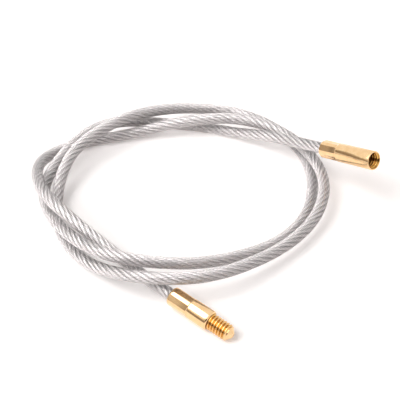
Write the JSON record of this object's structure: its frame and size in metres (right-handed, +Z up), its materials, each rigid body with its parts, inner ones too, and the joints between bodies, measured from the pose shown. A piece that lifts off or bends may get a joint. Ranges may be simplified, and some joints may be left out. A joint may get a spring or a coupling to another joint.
{
  "type": "pull-through cable",
  "caption": "Flexible steel wire rope in a clear jacket, loosely coiled, with a crimped brass threaded stud on one end and a matching threaded socket on the other.",
  "frame": {"origin": "centre of the part's bounding box in plan, on the floor that the coil lies on", "axes": "+Z up, square to the coil's plane, which is the part's shortest extent; +X to the right and -Y to the front, where the male fitting points"},
  "size_m": [0.091, 0.0873, 0.019],
  "materials": {
    "clear_jacket": "clear glossy",
    "rope_steel": "bright drawn wire",
    "fitting_brass": "bright turned"
  },
  "bodies": {
    "root": {"cable_jacket": "clear_jacket", "core_strand": "rope_steel", "outer_strand_1": "rope_steel", "outer_strand_2": "rope_steel", "outer_strand_3": "rope_steel", "outer_strand_4": "rope_steel", "outer_strand_5": "rope_steel", "outer_strand_6": "rope_steel", "male_end_fitting": "fitting_brass", "female_end_fitting": "fitting_brass"}
  },
  "joints": []
}
